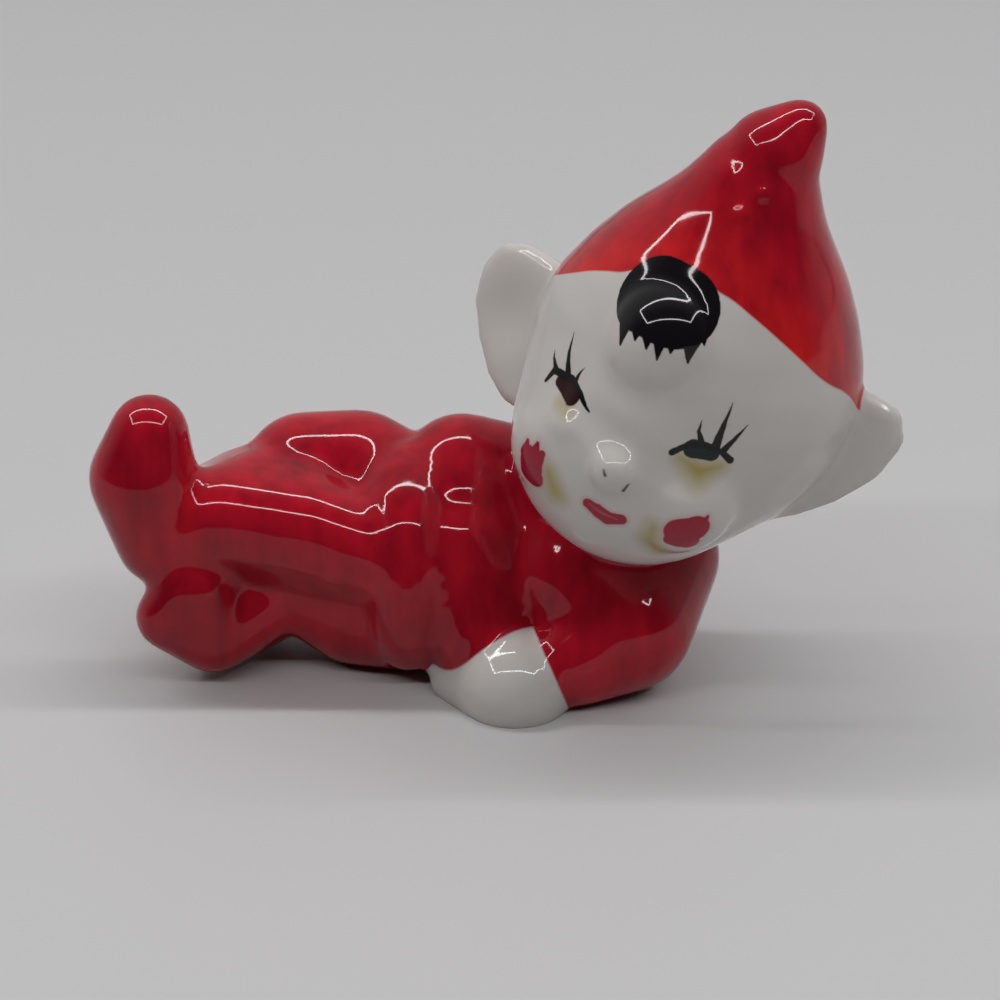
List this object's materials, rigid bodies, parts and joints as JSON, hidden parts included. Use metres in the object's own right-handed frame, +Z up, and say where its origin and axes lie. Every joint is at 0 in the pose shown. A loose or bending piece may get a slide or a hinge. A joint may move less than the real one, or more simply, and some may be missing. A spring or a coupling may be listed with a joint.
{
  "type": "elf figurine",
  "caption": "Reclining pixie ornament in a pointed hat, propped on an elbow with both hands together, cast and glazed as one solid piece",
  "frame": {"origin": "on the table, under the middle of the figurine's box", "axes": "+X towards the pixie's head end, -Y the side that its face looks to, +Z up"},
  "size_m": [0.0698, 0.0328, 0.0546],
  "materials": {
    "painted_glaze": "gloss"
  },
  "bodies": {
    "root": {"elf_figurine": "painted_glaze"}
  },
  "joints": []
}
